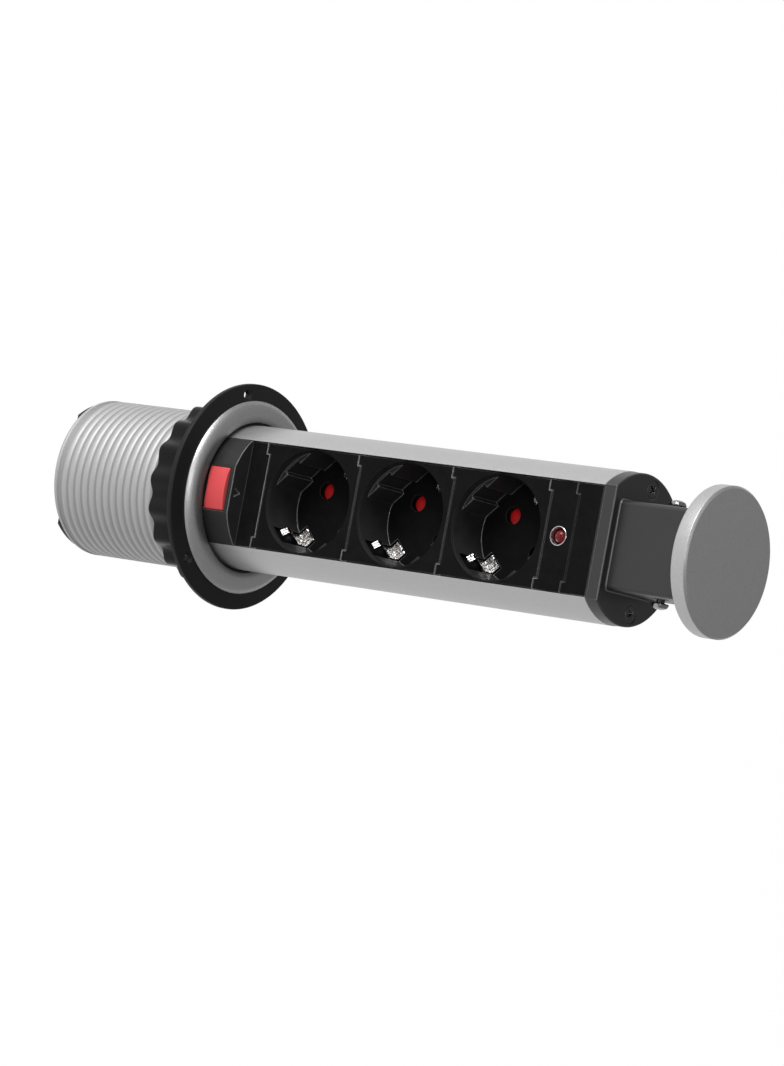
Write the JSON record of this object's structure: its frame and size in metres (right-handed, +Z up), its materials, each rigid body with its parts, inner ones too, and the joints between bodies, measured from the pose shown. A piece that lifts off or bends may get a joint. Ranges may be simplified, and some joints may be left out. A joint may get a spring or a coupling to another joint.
{
  "type": "pull-up desk power module",
  "caption": "Pull-up desk power module: a round silver column with socket wells, pilot lamp and latch button, sliding through a flanged collar with a ring nut below.",
  "frame": {"origin": "centre of the flange underside, which rests on the worktop, and of the screw circle in it", "axes": "+Z up along the column, -Y out of the socket window, +X to the right for someone facing the window"},
  "size_m": [0.0892, 0.0892, 0.3077],
  "materials": {
    "silver_aluminium": "satin anodised",
    "black_plastic": "fine moulded",
    "red_plastic": "semi gloss",
    "shutter_plastic": "semi gloss",
    "red_lens": "translucent",
    "bright_metal": "polished",
    "spring_steel": "bright",
    "dark_steel": "blackened",
    "contact_brass": "plain",
    "black_rubber": "matt"
  },
  "bodies": {
    "collar": {"barrel": "silver_aluminium", "flange": "black_plastic", "trim_ring": "silver_aluminium"},
    "column": {"column_profile": "silver_aluminium", "latch_block": "black_plastic", "latch_spring": "spring_steel", "lower_cover": "black_plastic", "lamp_module": "black_plastic", "lamp_bezel": "bright_metal", "lamp_lens": "red_lens", "blank_module": "black_plastic", "end_block": "black_plastic", "end_screws": "dark_steel", "neck": "black_plastic", "neck_pin_left": "bright_metal", "neck_pin_right": "bright_metal", "cap_bolts": "spring_steel", "cap": "silver_aluminium", "foot": "black_plastic", "foot_screws": "dark_steel", "cord_bush": "black_rubber", "cord_clamp": "black_plastic", "clamp_screws": "spring_steel", "socket_body_1": "black_plastic", "socket_back_1": "black_plastic", "live_contact_1": "contact_brass", "neutral_contact_1": "contact_brass", "earth_contact_1": "spring_steel", "shutter_spring_1": "spring_steel", "socket_body_2": "black_plastic", "socket_back_2": "black_plastic", "live_contact_2": "contact_brass", "neutral_contact_2": "contact_brass", "earth_contact_2": "spring_steel", "shutter_spring_2": "spring_steel", "socket_body_3": "black_plastic", "socket_back_3": "black_plastic", "live_contact_3": "contact_brass", "neutral_contact_3": "contact_brass", "earth_contact_3": "spring_steel", "shutter_spring_3": "spring_steel"},
    "nut": {"ring_nut": "black_plastic"},
    "button": {"latch_button": "red_plastic"},
    "shutter_body_1": {"shutter_1": "shutter_plastic"},
    "shutter_body_2": {"shutter_2": "shutter_plastic"},
    "shutter_body_3": {"shutter_3": "shutter_plastic"}
  },
  "joints": [
    {"name": "column_slide", "type": "slide", "parent": "collar", "child": "column", "axis": [0, 0, 1], "range_m": [-0.223, 0]},
    {"name": "nut_travel", "type": "slide", "parent": "collar", "child": "nut", "axis": [0, 0, 1], "range_m": [-0.05, 0.0052]},
    {"name": "button_press", "type": "slide", "parent": "column", "child": "button", "axis": [0, 1, 0], "range_m": [0, 0.0025], "stiffness_N_per_m": 800},
    {"name": "shutter_turn_1", "type": "hinge", "parent": "column", "child": "shutter_body_1", "pos_m": [0, 0.0045, 0.0486], "axis": [0, -1, 0], "range_deg": [0, 45], "stiffness_Nm_per_rad": 0.02},
    {"name": "shutter_turn_2", "type": "hinge", "parent": "column", "child": "shutter_body_2", "pos_m": [0, 0.0045, 0.0936], "axis": [0, -1, 0], "range_deg": [0, 45], "stiffness_Nm_per_rad": 0.02},
    {"name": "shutter_turn_3", "type": "hinge", "parent": "column", "child": "shutter_body_3", "pos_m": [0, 0.0045, 0.1386], "axis": [0, -1, 0], "range_deg": [0, 45], "stiffness_Nm_per_rad": 0.02}
  ]
}
